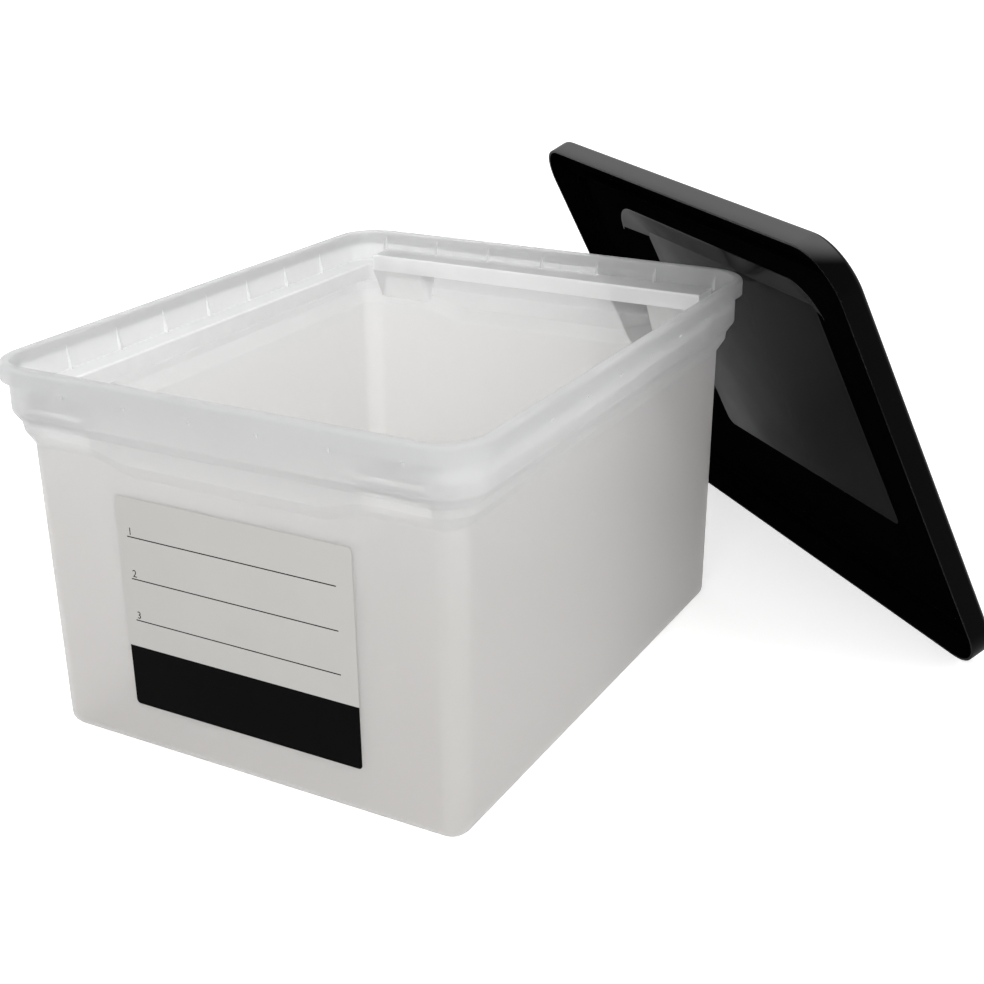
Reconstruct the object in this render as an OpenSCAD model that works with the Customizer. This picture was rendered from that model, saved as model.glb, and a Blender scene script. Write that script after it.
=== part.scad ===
// Portable file box: an open tote with moulded rails for hanging folders,
// its lid leaning against one corner of the rim, and a write-on label.
// Millimetres. +Z is up, the origin is the centre of the base.
// +X runs along the short walls and +Y along the long walls.

/* [Tote] */
// Length over the rim, along Y
rim_l = 454; // [440:1:460]
// Width over the rim, along X
rim_w = 364; // [356:1:368]
// Height from the base to the top of the rim
tote_h = 270; // [250:1:300]
// Plan radius of the rim's corners
rim_r = 34; // [33:1:42]
// Thickness of the moulded walls
wall_t = 2.2; // [1.8:0.1:2.6]
// Height of the turned-down lip
lip_h = 12; // [9:1:14]
// How far the band under the lip stands in from the lip
band_in = 5; // [4.5:0.5:6]
// Depth of the band, from the rim down to the first shoulder
band_h = 34; // [28:1:38]
// How far the walls lean in between shoulder and base
draft_in = 2.5; // [1:0.5:3]
// Radius of the rounding between walls and base
base_r = 9; // [6:1:9]

/* [Rails] */
// Distance between the rails on the long walls, for letter folders
letter_span = 312; // [308:1:316]
// Distance between the rails on the short walls, for legal folders
legal_span = 388; // [384:1:392]
// Depth of the letter rails below the rim
letter_drop = 24; // [23:1:30]
// Depth of the legal rails below the rim
legal_drop = 15; // [14:1:20]
// Height of a rail's front face
rail_h = 13; // [8:1:14]

/* [Grip] */
// Width of the grip pocket in each short wall
grip_w = 216; // [180:2:240]
// Depth of the pocket's lower edge below the rim
grip_drop = 66; // [60:1:72]

/* [Lid] */
// How far the lid stands out past the rim on each side
lid_over = 4.5; // [4:0.5:6]
// Height of the lid's skirt
skirt_h = 18.5; // [16:0.5:20]
// Thickness of the lid
lid_t = 2; // [1.8:0.1:2.4]
// Length of the raised platform at its foot
plat_l = 330; // [300:2:350]
// Width of the raised platform at its foot
plat_w = 272; // [240:2:280]
// Height of the platform above the lid's flange
plat_h = 9; // [6:0.5:10]
// Width of the platform's sloping border
plat_slope = 32; // [20:1:34]
// Angle between the leaning lid and the vertical
lid_lean = 26.5; // [24:0.5:28]
// Direction of the leaning lid's length, turned from +X
lid_yaw = 139.9; // [135:0.1:145]
// Where the rim's corner touches the lid, measured along it from its middle
lean_along = -21.4; // [-40:0.1:40]
// Clearance between the leaning lid and the rim's corner
lean_gap = 0.6; // [0.4:0.1:1]

/* [Label] */
// Width of the label
label_w = 183; // [150:1:200]
// Height of the label
label_h = 154; // [120:1:160]
// Height of the label's lower edge above the base
label_z = 35; // [25:1:45]
// Thickness of the label
label_t = 0.4; // [0.3:0.1:0.8]

/* [Hidden] */

// Arc centres of the rim, which every level of the wall shares
mid_x = rim_w / 2 - rim_r;
mid_y = rim_l / 2 - rim_r;

// Levels of the wall, from the lip down past the two steps to the body
lip_z = tote_h - lip_h;
band_z = tote_h - band_h;
step_z = band_z - 8;
ledge_z = step_z - 6;
body_z = ledge_z - 10;
// Insets of the wall at those levels, measured in from the lip
step_in = band_in + 5.5;
ledge_in = step_in + 0.8;
body_in = ledge_in + 6.2;
foot_in = body_in + draft_in;
floor_in = foot_in + base_r + 2;

rim_edge_r = 2.5;
lip_t = 2;
floor_t = 2.2;
// How far a part of a moulding runs into the part that carries it
join = 0.5;
// Straight pieces in a rounded edge, and facets in a round corner
arc_n = 6;
corner_fn = 96;

// Slope of the drafted walls, and their inset at a height
draft_deg = atan(draft_in / (body_z - base_r));
function wall_in(z) = foot_in - draft_in * (z - base_r) / (body_z - base_r);

// Points of an arc as [inset, z], centred on c
function arc(c, r, a0, a1) = [
    for (i = [0:arc_n])
        let (a = a0 + (a1 - a0) * i / arc_n)
            [c[0] + r * cos(a), c[1] + r * sin(a)]
];

// Outer outline of the wall, from the rim down to the foot
wall_outside = concat(
    arc([rim_edge_r, tote_h - rim_edge_r], rim_edge_r, 90, 180),
    [
        [0, lip_z],
        [lip_t, lip_z],
        [lip_t, tote_h - rim_edge_r],
        [band_in, tote_h - rim_edge_r],
        [band_in, band_z],
        [step_in, step_z],
        [ledge_in, ledge_z],
        [body_in, body_z]
    ],
    arc([foot_in + base_r, base_r], base_r, 180, 270)
);

// Inner outline of the wall, from the floor up to the rim
wall_inside = concat(
    [[floor_in, 0], [floor_in, floor_t]],
    arc([foot_in + base_r, base_r], base_r - wall_t, 270, 180),
    [
        [body_in + wall_t, body_z - 1],
        [ledge_in + wall_t, ledge_z - 1],
        [step_in + wall_t, step_z - 1],
        [band_in + wall_t, band_z - 1],
        [band_in + wall_t, tote_h - 1],
        [band_in + wall_t - 1, tote_h]
    ]
);

wall_section = concat(wall_outside, wall_inside);

// Gussets between the lip and the band, and on the rails
gusset_t = 1.6;
gusset_gap = 52;
gusset_drop = 7;
gusset_reach = 10;
gusset_tip = 1.5;

// Grip pocket: its inset, its lower edge, and the half-widths of its ends
grip_in = step_in + 0.4;
grip_z = tote_h - grip_drop;
grip_end = grip_w / 2;
grip_flat = grip_end / 2;
grip_rise = body_z - grip_z;
grip_clear = 12;

// Rails
rail_t = 1.8;
letter_in = (rim_w - letter_span) / 2;
letter_z = tote_h - letter_drop;

// Lid, with the locating rib and snap beads on its inside
lid_l = rim_l + 2 * lid_over;
lid_w = rim_w + 2 * lid_over;
lid_r = rim_r + lid_over;
lid_edge_r = 2.5;
rib_in_l = 25;
rib_in_w = 29;
rib_h = 6;
rib_t = 1.6;
rib_r = 16;
bead_l = 60;
bead_h = 1.8;
bead_out = 3.1;
flange_in = 12;
plat_r = 40;
plat_top_z = skirt_h + plat_h;
plat_top_in = plat_slope + 1;

// The leaning lid: the rounding of the rim's corner lies under its platform,
// lean_up its slope and lean_depth behind its open side
lid_tilt = 90 - lid_lean;
lid_dir = [cos(lid_yaw), sin(lid_yaw)];
lean_dir = [sin(lid_yaw), -cos(lid_yaw)];
lean_depth = plat_top_z - lid_t - rim_edge_r - lean_gap;
lean_up = (tote_h - rim_edge_r - lean_depth * cos(lid_tilt)) / sin(lid_tilt);
lean_out = rim_r - rim_edge_r + lean_up * cos(lid_tilt) - lean_depth * sin(lid_tilt);
// Middle of the skirt's edge on the floor
lid_foot = [mid_x, mid_y] + lean_dir * lean_out - lid_dir * lean_along;

// A section, as [inset, z], swept round a plan of radius r whose corner
// arcs are centred on +-mx, +-my. The ends are the runs along X.
module ring(mx, my, r, section, ends = true) {
    for (i = [0:3])
        mirror([i % 2, 0, 0])
            mirror([0, floor(i / 2), 0])
                translate([mx, my, 0])
                    rotate_extrude(angle = 90, $fn = corner_fn)
                        polygon([for (p = section) [r - p[0], p[1]]]);
    for (s = [0, 1])
        mirror([s, 0, 0])
            run(section, mx + r, my);
    if (ends)
        for (s = [-90, 90])
            rotate([0, 0, s])
                run(section, my + r, mx);
}

// A straight run of a section along Y, with its outer edge at x = out
module run(section, out, half) {
    translate([out, half, 0])
        rotate([90, 0, 0])
            linear_extrude(height = 2 * half)
                polygon([for (p = section) [-p[0], p[1]]]);
}

// A rounded rectangle, built from two bars and four discs
module round_rect(w, l, r) {
    square([w - 2 * r, l], center = true);
    square([w, l - 2 * r], center = true);
    for (x = [-1, 1])
        for (y = [-1, 1])
            translate([x * (w / 2 - r), y * (l / 2 - r)])
                circle(r, $fn = corner_fn);
}

// Outline of the grip pocket, drawn in from its edge by gap
function grip_outline(gap) = concat(
    [[grip_end - gap, step_z], [-grip_end + gap, step_z]],
    [for (i = [0:8]) [-grip_end + gap + (grip_end - grip_flat) * i / 8, grip_edge(gap, i / 8)]],
    [for (i = [8:-1:0]) [grip_end - gap - (grip_end - grip_flat) * i / 8, grip_edge(gap, i / 8)]]
);

// Height of the pocket's lower edge, from its end (u = 0) to its flat (u = 1)
function grip_edge(gap, u) = grip_z + gap + grip_rise * (1 + cos(180 * u)) / 2;

// The grip outline between two insets of the wall at -Y
module grip_block(gap, from_in, to_in) {
    translate([0, -rim_l / 2 + to_in, 0])
        rotate([90, 0, 0])
            linear_extrude(height = to_in - from_in)
                polygon(grip_outline(gap));
}

// Section of the ledge that carries letter folders, as [inset, z]
letter_ledge = [
    [band_in + 1, letter_z],
    [letter_in, letter_z],
    [letter_in, letter_z - rail_h],
    [letter_in - rail_t, letter_z - rail_h],
    [letter_in - rail_t, letter_z - rail_t],
    [band_in + 1, letter_z - rail_t]
];

// The rail that carries legal folders, on the short wall at +X of its frame
module legal_rail() {
    inner = legal_span / 2;
    depth = rim_l / 2 - band_in - 1 - inner;
    top = tote_h - legal_drop;
    translate([inner, -mid_x, top - rail_t])
        cube([depth, 2 * mid_x, rail_t]);
    translate([inner, -mid_x, top - rail_h])
        cube([rail_t, 2 * mid_x, rail_h]);
    for (s = [0, 1])
        mirror([0, s, 0])
            translate([inner, mid_x - rail_t, top - rail_h])
                cube([depth, rail_t, rail_h]);
}

// Gussets that stand on a rail against the wall
module rail_gussets(inner, drop, count, wall_x) {
    foot = tote_h - drop - 1;
    reach = min(gusset_reach, wall_x - inner - 3);
    for (i = [-count:count])
        translate([wall_x + join, i * gusset_gap + gusset_t / 2, 0])
            rotate([90, 0, 0])
                linear_extrude(height = gusset_t)
                    polygon([
                        [0, foot],
                        [-reach, foot],
                        [-reach, foot + 2],
                        [-gusset_tip, tote_h - 4],
                        [0, tote_h - 4]
                    ]);
}

// Gussets in the channel between the lip and the band
module lip_gussets(out, count) {
    top = tote_h - gusset_tip;
    for (i = [-count:count - 1])
        translate([out, (i + 0.5) * gusset_gap + gusset_t / 2, 0])
            rotate([90, 0, 0])
                linear_extrude(height = gusset_t)
                    polygon([
                        [-lip_t / 2, top],
                        [-lip_t / 2, lip_z + 1],
                        [-band_in - join, lip_z - gusset_drop],
                        [-band_in - join, top]
                    ]);
}

module tote_body() {
    color("gainsboro") {
        difference() {
            union() {
                ring(mid_x, mid_y, rim_r, wall_section);
                linear_extrude(height = floor_t)
                    round_rect(
                        rim_w - 2 * floor_in,
                        rim_l - 2 * floor_in,
                        rim_r - floor_in
                    );
                for (s = [0, 1])
                    mirror([0, s, 0])
                        grip_block(0, grip_in, body_in + wall_t);
            }
            for (s = [0, 1])
                mirror([0, s, 0])
                    grip_block(wall_t, grip_in + wall_t, body_in + grip_clear);
        }
        ring(mid_x, mid_y, rim_r, letter_ledge, ends = false);
        for (s = [0, 1])
            mirror([s, 0, 0]) {
                rail_gussets(letter_span / 2, letter_drop, 3, rim_w / 2 - band_in - wall_t);
                lip_gussets(rim_w / 2, 3);
            }
        for (s = [-90, 90])
            rotate([0, 0, s]) {
                legal_rail();
                rail_gussets(legal_span / 2, legal_drop, 2, rim_l / 2 - band_in - wall_t);
                lip_gussets(rim_l / 2, 3);
            }
    }
}

// The skirt and the edge of the flange, as [inset, z] from the lid's edge
skirt_section = concat(
    [
        [0, 0],
        [lid_t, 0],
        [lid_t, skirt_h - lid_t - 1],
        [lid_t + 1, skirt_h - lid_t],
        [flange_in, skirt_h - lid_t],
        [flange_in, skirt_h]
    ],
    arc([lid_edge_r, skirt_h - lid_edge_r], lid_edge_r, 90, 180)
);

// The platform's sloping border, as [inset, z] from its foot
slope_section = [
    [0, skirt_h - lid_t],
    [0, skirt_h],
    [plat_slope, plat_top_z],
    [plat_top_in, plat_top_z],
    [plat_top_in, plat_top_z - lid_t],
    [plat_slope, plat_top_z - lid_t]
];

// The lid lying flat: skirt edge at z = 0, length along X, width along Y
module lid_flat() {
    ring(mid_y, mid_x, lid_r, skirt_section);
    translate([0, 0, skirt_h - lid_t])
        linear_extrude(height = lid_t)
            difference() {
                round_rect(lid_l - 2 * flange_in, lid_w - 2 * flange_in, lid_r - flange_in);
                round_rect(plat_l, plat_w, plat_r);
            }
    ring(plat_l / 2 - plat_r, plat_w / 2 - plat_r, plat_r, slope_section);
    translate([0, 0, plat_top_z - lid_t])
        linear_extrude(height = lid_t)
            round_rect(plat_l - 2 * plat_top_in, plat_w - 2 * plat_top_in, plat_r - plat_top_in);
    locating_rib();
    snap_beads();
}

// The rib under the flange that centres the lid inside the rails
module locating_rib() {
    w = lid_l - 2 * rib_in_l;
    l = lid_w - 2 * rib_in_w;
    translate([0, 0, skirt_h - lid_t - rib_h])
        linear_extrude(height = rib_h + join)
            difference() {
                round_rect(w, l, rib_r);
                round_rect(w - 2 * rib_t, l - 2 * rib_t, rib_r - rib_t);
            }
}

// Beads inside the skirt's edge that snap under the tote's lip
module snap_beads() {
    for (s = [0, 180])
        rotate([0, 0, s]) {
            for (x = [-1, 1])
                snap_bead(x * lid_l / 4, lid_w / 2, 0);
            snap_bead(0, lid_l / 2, 90);
        }
}

module snap_bead(along, out, turn) {
    rotate([0, 0, turn])
        translate([along - bead_l / 2, out - lid_t, bead_h])
            rotate([90, 0, 90])
                linear_extrude(height = bead_l)
                    polygon([[join, -bead_h], [-bead_out, 0], [join, bead_h]]);
}

module lid() {
    color("dimgray")
        translate([lid_foot[0], lid_foot[1], 0])
            rotate([0, 0, lid_yaw])
                rotate([lid_tilt, 0, 0])
                    translate([0, lid_w / 2, 0])
                        lid_flat();
}

module label() {
    color("white")
        translate([0, -rim_l / 2 + wall_in(label_z), label_z])
            rotate([90 + draft_deg, 0, 0])
                linear_extrude(height = label_t)
                    translate([0, label_h / 2])
                        round_rect(label_w, label_h, 3);
}

tote_body();
lid();
label();
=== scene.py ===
"""Dresses an open file tote, its label and its leaning lid.

Everything is in metres, with +Z up and the origin at the centre of the
tote's base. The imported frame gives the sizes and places.
"""

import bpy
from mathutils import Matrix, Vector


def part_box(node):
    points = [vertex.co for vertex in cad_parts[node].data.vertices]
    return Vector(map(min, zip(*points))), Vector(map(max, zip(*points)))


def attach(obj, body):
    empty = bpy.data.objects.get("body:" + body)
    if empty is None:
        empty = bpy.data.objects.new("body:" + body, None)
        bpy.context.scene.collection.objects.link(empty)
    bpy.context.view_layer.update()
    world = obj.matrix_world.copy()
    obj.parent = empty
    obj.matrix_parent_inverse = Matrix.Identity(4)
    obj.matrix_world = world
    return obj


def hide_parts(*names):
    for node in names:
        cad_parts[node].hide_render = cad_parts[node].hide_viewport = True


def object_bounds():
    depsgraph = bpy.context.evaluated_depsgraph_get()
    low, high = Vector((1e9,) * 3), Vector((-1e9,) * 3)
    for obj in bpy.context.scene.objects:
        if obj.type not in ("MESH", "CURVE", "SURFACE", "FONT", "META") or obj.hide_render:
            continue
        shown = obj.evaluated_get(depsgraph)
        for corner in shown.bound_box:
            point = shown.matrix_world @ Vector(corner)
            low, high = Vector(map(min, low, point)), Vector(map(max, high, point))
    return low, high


bl_info = {
    "name": "Portable File Box",
    "version": (1, 0, 0),
    "blender": (4, 5, 0),
    "location": "3D View > Sidebar > File Box",
    "description": "Adds a file tote with moulded rails, a label and a leaning lid",
    "category": "Add Mesh",
}

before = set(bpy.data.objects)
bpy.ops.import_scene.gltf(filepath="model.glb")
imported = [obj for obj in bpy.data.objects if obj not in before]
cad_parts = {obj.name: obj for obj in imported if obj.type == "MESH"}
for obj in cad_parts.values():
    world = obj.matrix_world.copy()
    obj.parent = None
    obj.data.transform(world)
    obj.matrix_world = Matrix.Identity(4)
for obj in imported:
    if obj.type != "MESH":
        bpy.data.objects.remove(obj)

from math import atan, atan2, cos, pi, radians, sin, tan

import bmesh
import bpy
from bpy.props import FloatProperty, FloatVectorProperty, IntProperty, PointerProperty
from mathutils import Matrix, Vector

CAD_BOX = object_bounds()
TOTE_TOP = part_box("tote_body")[1]

# Half sizes of the tote over its rim, and its height
HALF_X, HALF_Y, TOTE_H = (float(value) for value in TOTE_TOP)
# Faces further out than this along Y belong to a short wall
SHORT_WALL = HALF_Y - 0.037
# A face looks along an axis if its normal has more than this along it
FACING = 0.9
TINY = 1e-5
WHITE = (1, 1, 1)
PLASTIC_IOR = 1.49

# Name, place, size and power of each lamp
LAMPS = (
    ("key", (0.9, -2.0, 1.5), 1.6, 30),
    ("fill", (1.9, 0.4, 0.7), 1.6, 9),
    ("back", (-0.9, 1.4, 1.7), 1.4, 5),
)


def length(name, description, default):
    """A length that the user can change, in metres."""
    return FloatProperty(name=name, description=description, default=default, unit="LENGTH")


def angle(name, description, degrees):
    """An angle that the user can change, given in degrees."""
    return FloatProperty(
        name=name, description=description, default=radians(degrees), subtype="ANGLE"
    )


def tint(name, description, default):
    """A linear colour that the user can change."""
    return FloatVectorProperty(
        name=name, description=description, default=default, subtype="COLOR", min=0, max=1
    )


class ToteSettings(bpy.types.PropertyGroup):
    """Sizes and colour of the tote."""

    rim_radius: length("Rim Radius", "Plan radius of the rim's corners", 0.034)
    wall: length("Wall", "Thickness of the moulded walls", 0.0022)
    rim_rounding: length("Rim Rounding", "Rounding of the rim's outer edge", 0.003)
    band_rounding: length("Band Rounding", "Rounding of the band's lower edge", 0.005)
    step_rounding: length("Step Rounding", "Rounding at the foot of the first step", 0.002)
    riser_rounding: length("Riser Rounding", "Rounding above the second step", 0.003)
    body_rounding: length("Body Rounding", "Rounding at the top of the body", 0.004)
    lip_height: length("Lip Height", "Height of the turned-down lip", 0.012)
    lip_thickness: length("Lip Thickness", "Thickness of the lip", 0.002)
    band_inset: length("Band Inset", "How far the band stands in from the lip", 0.005)
    band_height: length("Band Height", "Depth of the band below the rim", 0.034)
    step_height: length("Step Height", "Height of the first step", 0.008)
    step_inset: length("Step Inset", "How far the first step goes in", 0.0055)
    riser_height: length("Riser Height", "Height of the wall between the steps", 0.006)
    riser_inset: length("Riser Inset", "Lean of the wall between the steps", 0.0008)
    shelf_height: length("Shelf Height", "Height of the second step", 0.010)
    shelf_inset: length("Shelf Inset", "How far the second step goes in", 0.0062)
    draft: length("Draft", "How far the body leans in towards its base", 0.0025)
    base_radius: length("Base Radius", "Rounding between walls and base", 0.009)
    grip_half: length("Grip Half Width", "Half the width of the grip pocket", 0.108)
    grip_flat: length("Grip Flat", "Half the width of the pocket's level part", 0.070)
    grip_drop: length("Grip Drop", "How far the pocket reaches below the second step", 0.008)
    letter_inset: length("Letter Inset", "Letter rail's distance from the rim", 0.026)
    letter_drop: length("Letter Drop", "Depth of the letter rails below the rim", 0.024)
    legal_inset: length("Legal Inset", "Legal rail's distance from the rim", 0.033)
    legal_drop: length("Legal Drop", "Depth of the legal rails below the rim", 0.015)
    rail_height: length("Rail Height", "Height of a rail's front face", 0.013)
    rail_wall: length("Rail Wall", "Thickness of the rails", 0.0018)
    rail_rounding: length("Rail Rounding", "Rounding of a rail's front edge", 0.0015)
    corbel_drop: length("Corbel Drop", "How far the corbels reach below the riser's foot", 0.007)
    corbel_rounding: length("Corbel Rounding", "Rounding of a corbel's front edge", 0.004)
    rib_wall: length("Rib Wall", "Thickness of the ribs", 0.0013)
    letter_reach: length("Letter Reach", "Reach of the ribs on the letter rails", 0.003)
    legal_reach: length("Legal Reach", "Reach of the ribs on the legal rails", 0.0045)
    rib_gap: length("Rib Gap", "Distance between ribs", 0.0505)
    lip_rib_shift: length("Lip Rib Shift", "Offset of the ribs behind the lip", -0.014)
    corner_steps: IntProperty(
        name="Corner Steps", description="Faces round a corner", default=18, min=4
    )
    plastic: tint("Plastic", "Colour of the walls", (0.70, 0.678, 0.657))
    rim_plastic: tint("Rim Plastic", "Colour of the rim and ribs", (0.715, 0.719, 0.725))


class LidSettings(bpy.types.PropertyGroup):
    """Sizes, place and colour of the lid."""

    overhang: length("Overhang", "How far the lid stands out past the rim", 0.0045)
    skirt: length("Skirt", "Height of the skirt", 0.0185)
    wall: length("Wall", "Thickness of the lid", 0.002)
    edge_radius: length("Edge Radius", "Rounding of the outer edge", 0.0045)
    platform_length: length("Platform Length", "Length of the platform's foot", 0.330)
    platform_width: length("Platform Width", "Width of the platform's foot", 0.272)
    platform_radius: length("Platform Radius", "Corner radius of the platform's foot", 0.040)
    platform_height: length("Platform Height", "Height of the platform", 0.009)
    slope: length("Slope", "Width of the platform's sloping border", 0.032)
    flange: length("Flange", "Width of the flat border inside the outer edge", 0.016)
    rib_height: length("Rib Height", "Height of the locating rib", 0.006)
    rib_wall: length("Rib Wall", "Thickness of the locating rib", 0.0016)
    rib_end: length("Rib End", "Locating rib's distance from the short edges", 0.025)
    rib_side: length("Rib Side", "Locating rib's distance from the long edges", 0.029)
    rib_radius: length("Rib Radius", "Corner radius of the locating rib", 0.016)
    bead_length: length("Bead Length", "Length of the snap beads", 0.060)
    bead_height: length("Bead Height", "Height of the snap beads", 0.0036)
    bead_reach: length("Bead Reach", "How far the snap beads stand in", 0.0031)
    lean: angle("Lean", "Angle between the lid and the vertical", 26.5)
    yaw: angle("Yaw", "Direction of the lid's length from +X", 139.9)
    along: length("Along", "Where the rim's corner meets the lid, from its middle", -0.0214)
    gap: length("Gap", "Clearance between the lid and the rim's corner", 0.0006)
    rest_rounding: length("Rest Rounding", "Rim rounding that the lid is placed for", 0.0025)
    corner_steps: IntProperty(
        name="Corner Steps", description="Faces round a corner", default=18, min=4
    )
    plastic: tint("Plastic", "Colour of the black plastic", (0.0014, 0.0014, 0.0016))
    # Pale colour of the painted reflection mixed into the black of platform and skirt; it stands in
    # for reflected light, not for scuffs.
    painted_reflection: tint("Haze", "Colour of the scuffed haze on platform and skirt", (0.13, 0.13, 0.132))


class LabelSettings(bpy.types.PropertyGroup):
    """Sizes and colours of the label."""

    width: length("Width", "Width of the label", 0.183)
    height: length("Height", "Height of the label", 0.154)
    bottom: length("Bottom", "Height of the lower edge above the base", 0.035)
    thickness: length("Thickness", "Thickness of the paper", 0.0003)
    band_top: length("Band Top", "Height of the printed band's upper edge", 0.080)
    rule_top: length("Top Rule", "Height of the uppermost ruled line", 0.161)
    rule_gap: length("Rule Gap", "Distance between the ruled lines", 0.0305)
    rule_left: length("Rule Left", "Left end of the ruled lines", -0.084)
    rule_right: length("Rule Right", "Right end of the ruled lines", 0.079)
    rule_width: length("Rule Width", "Thickness of the ruled lines", 0.0008)
    figure_size: length("Figure Size", "Size of the printed figures", 0.0075)
    figure_left: length("Figure Left", "Left end of the printed figures", -0.083)
    figure_rise: length("Figure Rise", "Height of the figures above their lines", 0.0015)
    corner_radius: length("Corner Radius", "Radius of the label's corners", 0.003)
    paper: tint("Paper", "Colour of the paper", (0.465, 0.459, 0.444))
    ink: tint("Ink", "Colour of the print", (0.002, 0.002, 0.002))


class StageSettings(bpy.types.PropertyGroup):
    """Camera, lamps and background."""

    azimuth: angle("Azimuth", "Camera's turn round the tote", 28.798)
    elevation: angle("Elevation", "How far the camera looks down", 21.936)
    roll: angle("Roll", "Camera's roll", -0.436)
    lens: FloatProperty(name="Lens", description="Focal length in millimetres", default=56.995)
    place: FloatVectorProperty(
        name="Place", description="Where the camera stands",
        default=(0.57198, -0.90947, 0.56438), subtype="XYZ", unit="LENGTH"
    )
    floor: tint("Floor", "Colour of the floor", (0.80, 0.80, 0.80))


# Selecting and editing

def deselect():
    """Leaves edit mode and deselects every object."""
    if bpy.context.object and bpy.context.object.mode != "OBJECT":
        bpy.ops.object.mode_set(mode="OBJECT")
    bpy.ops.object.select_all(action="DESELECT")


def activate(*pieces):
    """Makes pieces the only selected objects, and the first one active."""
    deselect()
    for piece in pieces:
        piece.select_set(True)
    bpy.context.view_layer.objects.active = pieces[0]


def edit(piece, kind="FACE"):
    """Opens piece in edit mode with nothing selected."""
    activate(piece)
    bpy.ops.object.mode_set(mode="EDIT")
    bpy.ops.mesh.select_mode(type=kind)
    bpy.ops.mesh.select_all(action="DESELECT")


def pick(test, kind="faces"):
    """Selects the faces, edges or verts that pass test, in edit mode."""
    modes = {"faces": "FACE", "edges": "EDGE", "verts": "VERT"}
    bpy.ops.mesh.select_mode(type=modes[kind])
    bpy.ops.mesh.select_all(action="DESELECT")
    shape = bmesh.from_edit_mesh(bpy.context.object.data)
    shape.normal_update()
    for element in getattr(shape, kind):
        if test(element):
            element.select_set(True)
    shape.select_flush_mode()
    bmesh.update_edit_mesh(bpy.context.object.data)


def middle(edge):
    """Middle of an edge."""
    return (edge.verts[0].co + edge.verts[1].co) / 2


def apply_modifier(piece, kind, **settings):
    """Adds a modifier of that kind to piece and applies it."""
    activate(piece)
    modifier = piece.modifiers.new(kind.title(), kind)
    for name, value in settings.items():
        setattr(modifier, name, value)
    bpy.ops.object.modifier_apply(modifier=modifier.name)


def copy_piece(piece, move=(0, 0, 0), turn=0):
    """A copy of piece with its own mesh, turned about Z and then moved."""
    activate(piece)
    bpy.ops.object.duplicate(linked=False)
    copy = bpy.context.object
    copy.rotation_euler.z = turn
    copy.location = move
    bpy.ops.object.transform_apply()
    return copy


def join(pieces):
    """Joins pieces into the first one, without merging them."""
    activate(*pieces)
    if len(pieces) > 1:
        bpy.ops.object.join()
    return pieces[0]


def fuse(piece, others):
    """Makes one closed solid of piece and others, which don't meet each other."""
    tool = join(others)
    apply_modifier(piece, "BOOLEAN", operation="UNION", solver="MANIFOLD", object=tool)
    bpy.data.objects.remove(tool)


def finish_piece(piece, body, node):
    """Shades a finished piece and ties it to the frame."""
    activate(piece)
    bpy.ops.object.shade_smooth_by_angle(angle=radians(35))
    apply_modifier(piece, "WEIGHTED_NORMAL", keep_sharp=True, weight=90)
    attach(piece, body)
    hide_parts(node)


# Shapes that both mouldings use

def rounded(points, steps=5):
    """A path through (inset, height, radius) points, with its corners rounded."""
    path = []
    for i, (inset, height, radius) in enumerate(points):
        corner = Vector((inset, height))
        if not radius:
            path.append(corner)
            continue
        back = (Vector(points[i - 1][:2]) - corner).normalized()
        ahead = (Vector(points[i + 1][:2]) - corner).normalized()
        half = back.angle(ahead) / 2
        centre = corner + (back + ahead).normalized() * radius / sin(half)
        first = corner + back * radius / tan(half) - centre
        last = corner + ahead * radius / tan(half) - centre
        start = atan2(first.y, first.x)
        turn = (atan2(last.y, last.x) - start + pi) % (2 * pi) - pi
        for k in range(steps + 1):
            way = start + turn * k / steps
            path.append(centre + radius * Vector((cos(way), sin(way))))
    return path


def rounded_face(name, half_x, half_y, radius, height, steps):
    """A flat face with round corners, left open in edit mode and selected."""
    deselect()
    bpy.ops.mesh.primitive_plane_add(size=2, location=(0, 0, height))
    piece = bpy.context.object
    piece.name = name
    piece.scale = (half_x, half_y, 1)
    bpy.ops.object.transform_apply()
    edit(piece, "VERT")
    bpy.ops.mesh.select_all(action="SELECT")
    bpy.ops.mesh.bevel(offset=radius, segments=steps, affect="VERTICES")
    bpy.ops.mesh.select_mode(type="FACE")
    bpy.ops.mesh.select_all(action="SELECT")
    return piece


def block(name, low, high):
    """A box between two corners."""
    deselect()
    low, high = Vector(low), Vector(high)
    bpy.ops.mesh.primitive_cube_add(size=1, location=(low + high) / 2)
    piece = bpy.context.object
    piece.name = name
    piece.scale = high - low
    bpy.ops.object.transform_apply()
    return piece


def face_outward():
    """Turns all faces of the piece in edit mode outward."""
    bpy.ops.mesh.select_all(action="SELECT")
    bpy.ops.mesh.normals_make_consistent(inside=False)


def lift(rise):
    """Extrudes the selected flat face up or down."""
    bpy.ops.mesh.extrude_region_move(TRANSFORM_OT_translate={"value": (0, 0, rise)})


def sweep(path, facing):
    """Insets the selected flat face along path. It looks up if facing is 1, down if -1."""
    for before, after in zip(path, path[1:]):
        inward, rise = after - before
        if inward < TINY / 10:
            lift(rise)
        else:
            bpy.ops.mesh.inset(thickness=inward, depth=facing * rise, use_even_offset=True)


def pick_cap(height, facing):
    """Selects the flat face with round corners that lies at height."""
    pick(lambda face: face.normal.z * facing > FACING
         and len(face.verts) > 8
         and abs(face.calc_center_median().z - height) < TINY)


def inset_at(point, half_x, half_y, radius):
    """How far a point lies inside the outline of a rounded rectangle."""
    over = Vector((abs(point.x) - half_x + radius, abs(point.y) - half_y + radius))
    if over.x > 0 and over.y > 0:
        return radius - over.length
    return radius - max(over)


def give_materials(piece, *materials):
    """Gives a piece its materials. All its faces get the first one."""
    piece.data.materials.clear()
    for material in materials:
        piece.data.materials.append(material)


def paint(piece, slot, test):
    """Gives the faces that pass test the piece's material in that slot."""
    edit(piece)
    pick(test)
    piece.active_material_index = slot
    bpy.ops.object.material_slot_assign()
    bpy.ops.object.mode_set(mode="OBJECT")


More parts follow.
